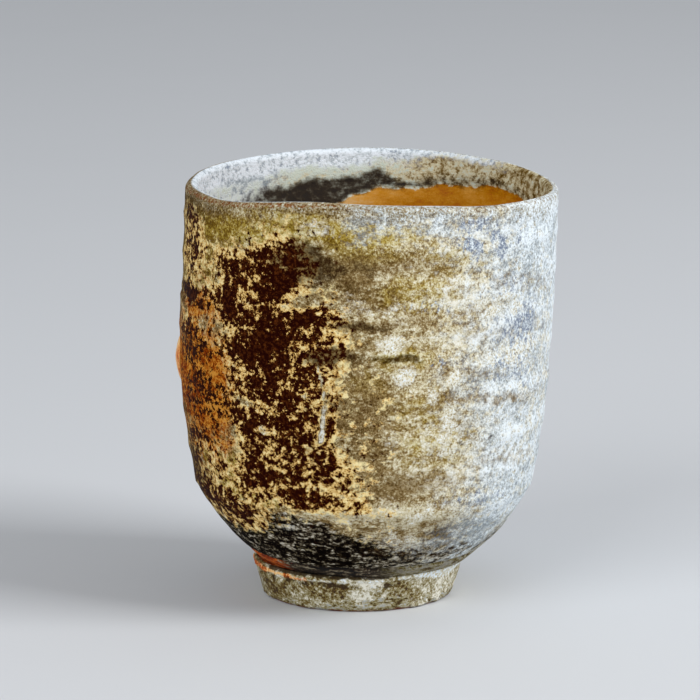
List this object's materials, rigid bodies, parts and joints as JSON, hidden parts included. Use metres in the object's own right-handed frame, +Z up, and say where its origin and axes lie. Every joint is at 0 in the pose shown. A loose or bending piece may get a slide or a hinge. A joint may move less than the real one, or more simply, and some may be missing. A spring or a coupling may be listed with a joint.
{
  "type": "yunomi tea cup",
  "caption": "Tall handleless stoneware tea cup on a turned foot ring, with a natural ash glaze outside and a liner glaze inside.",
  "frame": {"origin": "centre of the foot's resting face, on the surface that the cup stands on", "axes": "+Z up along the cup; -Y is the front, the side that faces the viewer of the picture; +X is to its right"},
  "size_m": [0.0802, 0.078, 0.0882],
  "materials": {
    "clay": "unglazed stoneware, flashed brown by the fire",
    "foot_clay": "unglazed turned stoneware",
    "ash_glaze": "natural wood ash glaze, khaki and cream with a dark scorch",
    "liner_glaze": "satin amber liner glaze",
    "foot_crust": "dry olive ash crust",
    "wad_clay": "fused kiln wad clay, smooth peach orange"
  },
  "bodies": {
    "root": {"cup_body": "clay", "foot_ring": "foot_clay", "ash_glaze": "ash_glaze", "liner_glaze": "liner_glaze", "foot_crust": "foot_crust", "wad_scar": "wad_clay"}
  },
  "joints": []
}
